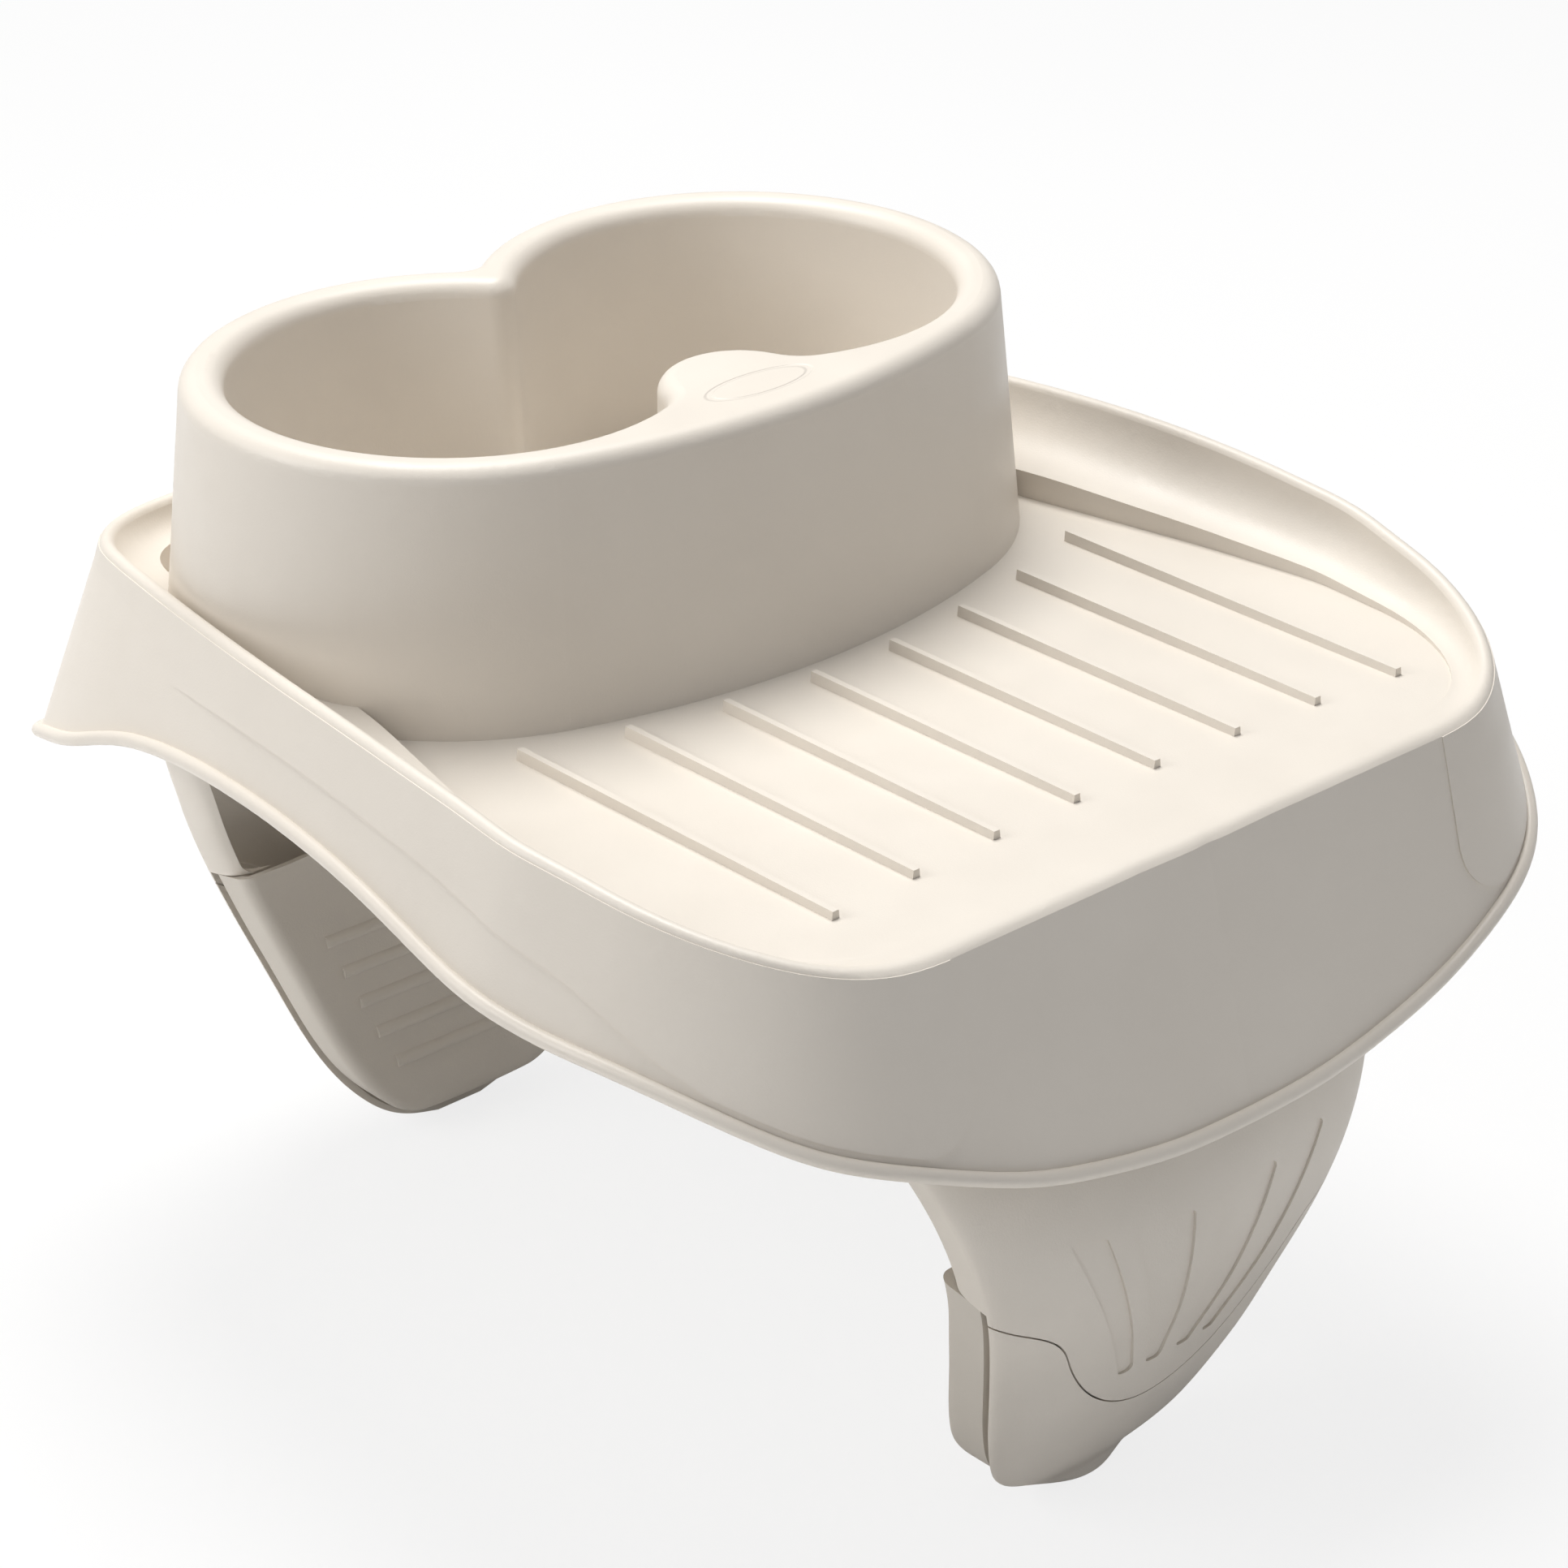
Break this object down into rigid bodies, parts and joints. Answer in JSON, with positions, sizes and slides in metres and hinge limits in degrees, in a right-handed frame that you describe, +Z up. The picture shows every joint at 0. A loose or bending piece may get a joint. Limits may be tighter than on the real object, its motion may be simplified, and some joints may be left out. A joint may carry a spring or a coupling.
{
  "type": "hot tub tray",
  "caption": "Moulded tray that straddles a hot tub's wall on two padded legs, with a ribbed open-fronted floor and a raised double cup holder.",
  "frame": {"origin": "on the tray floor's upper face, on the centre plane, under the front edge of the cup holder's rim", "axes": "+X from the cup holder to the open front edge, +Y along the tray's width, +Z up"},
  "size_m": [0.3063, 0.2734, 0.23],
  "materials": {
    "tray_body": "fine moulded grain",
    "front_arm": "fine moulded grain",
    "front_shoe": "fine moulded grain",
    "front_pad": "fine moulded grain",
    "rear_arm": "fine moulded grain",
    "rear_shoe": "fine moulded grain",
    "rear_pad": "fine moulded grain"
  },
  "bodies": {
    "root": {"tray_body": "tray_body", "front_arm": "front_arm", "front_shoe": "front_shoe", "front_pad": "front_pad", "rear_arm": "rear_arm", "rear_shoe": "rear_shoe", "rear_pad": "rear_pad"}
  },
  "joints": []
}
